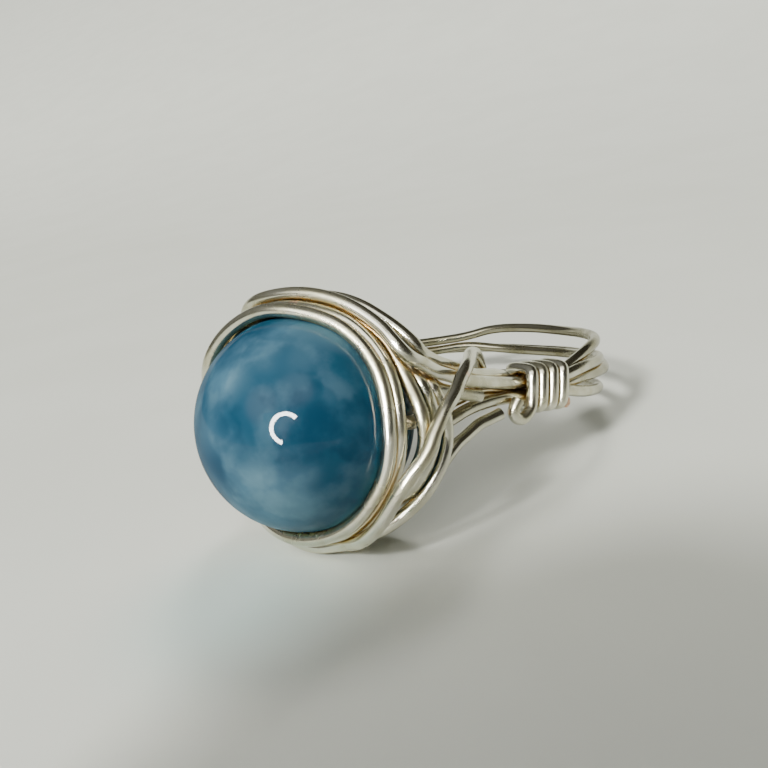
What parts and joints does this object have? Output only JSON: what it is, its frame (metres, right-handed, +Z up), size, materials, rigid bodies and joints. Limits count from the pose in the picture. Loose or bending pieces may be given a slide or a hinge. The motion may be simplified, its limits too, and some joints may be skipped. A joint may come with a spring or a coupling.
{
  "type": "wire-wrapped bead ring",
  "caption": "Finger ring lying on its side: a round stone bead in a nest of wound silver-coloured wire, on a band of plain wire strands bound by a close coil at each shoulder.",
  "frame": {"origin": "middle of the bounding box, at the surface the ring lies on", "axes": "+Z up from the surface, -Y towards the bead, +X towards the shoulder that the crossing wire lies on; the finger hole's axis leans 12.2 degrees from +Z towards +Y"},
  "size_m": [0.0202, 0.0292, 0.0125],
  "materials": {
    "bead": "polished",
    "wire": "polished, lightly tarnished"
  },
  "bodies": {
    "root": {"bead": "bead", "threaded_strand": "wire", "high_strand": "wire", "loop_strand": "wire", "low_strand": "wire", "front_turns": "wire", "crossing_turn": "wire", "back_turns": "wire", "nest_tail": "wire", "right_coil": "wire", "left_coil": "wire"}
  },
  "joints": []
}
